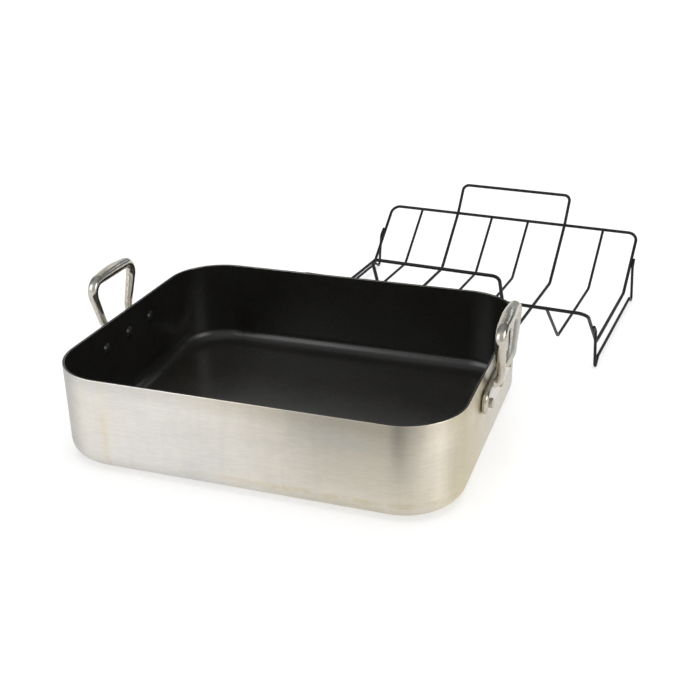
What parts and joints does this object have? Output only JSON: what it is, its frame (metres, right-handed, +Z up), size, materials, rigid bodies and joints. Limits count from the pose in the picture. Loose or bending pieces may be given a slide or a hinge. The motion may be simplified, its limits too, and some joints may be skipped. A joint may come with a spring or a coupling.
{
  "type": "roasting pan with rack",
  "caption": "Deep rectangular roasting pan with rounded corners, brushed steel outside, dark non-stick inside and riveted loop handles, with a loose trough-shaped wire rack standing behind it.",
  "frame": {"origin": "centre of the pan's flat bottom, on the surface that pan and rack stand on", "axes": "+X along the pan's long side towards its right handle, +Y across the pan towards the rack that stands behind it, +Z up"},
  "size_m": [0.526, 0.6904, 0.1481],
  "materials": {
    "brushed_shell": "brushed",
    "nonstick": "satin",
    "polished_handle": "polished",
    "rivet_steel": "satin",
    "rack_coat": "satin"
  },
  "bodies": {
    "pan": {"pan_shell": "brushed_shell", "nonstick_coating": "nonstick", "left_handle": "polished_handle", "right_handle": "polished_handle", "left_front_rivet": "rivet_steel", "left_middle_rivet": "rivet_steel", "left_rear_rivet": "rivet_steel", "right_front_rivet": "rivet_steel", "right_middle_rivet": "rivet_steel", "right_rear_rivet": "rivet_steel"},
    "rack": {"rack_frame_wire": "rack_coat", "rack_handle_loop": "rack_coat", "rack_outer_rib_left": "rack_coat", "rack_inner_rib_left": "rack_coat", "rack_outer_rib_right": "rack_coat", "rack_inner_rib_right": "rack_coat", "rack_foot_left": "rack_coat", "rack_foot_right": "rack_coat"}
  },
  "joints": [
    {"name": "rack_lift", "type": "slide", "parent": "pan", "child": "rack", "axis": [0, 0, 1], "range_m": [0, 0.2]}
  ]
}
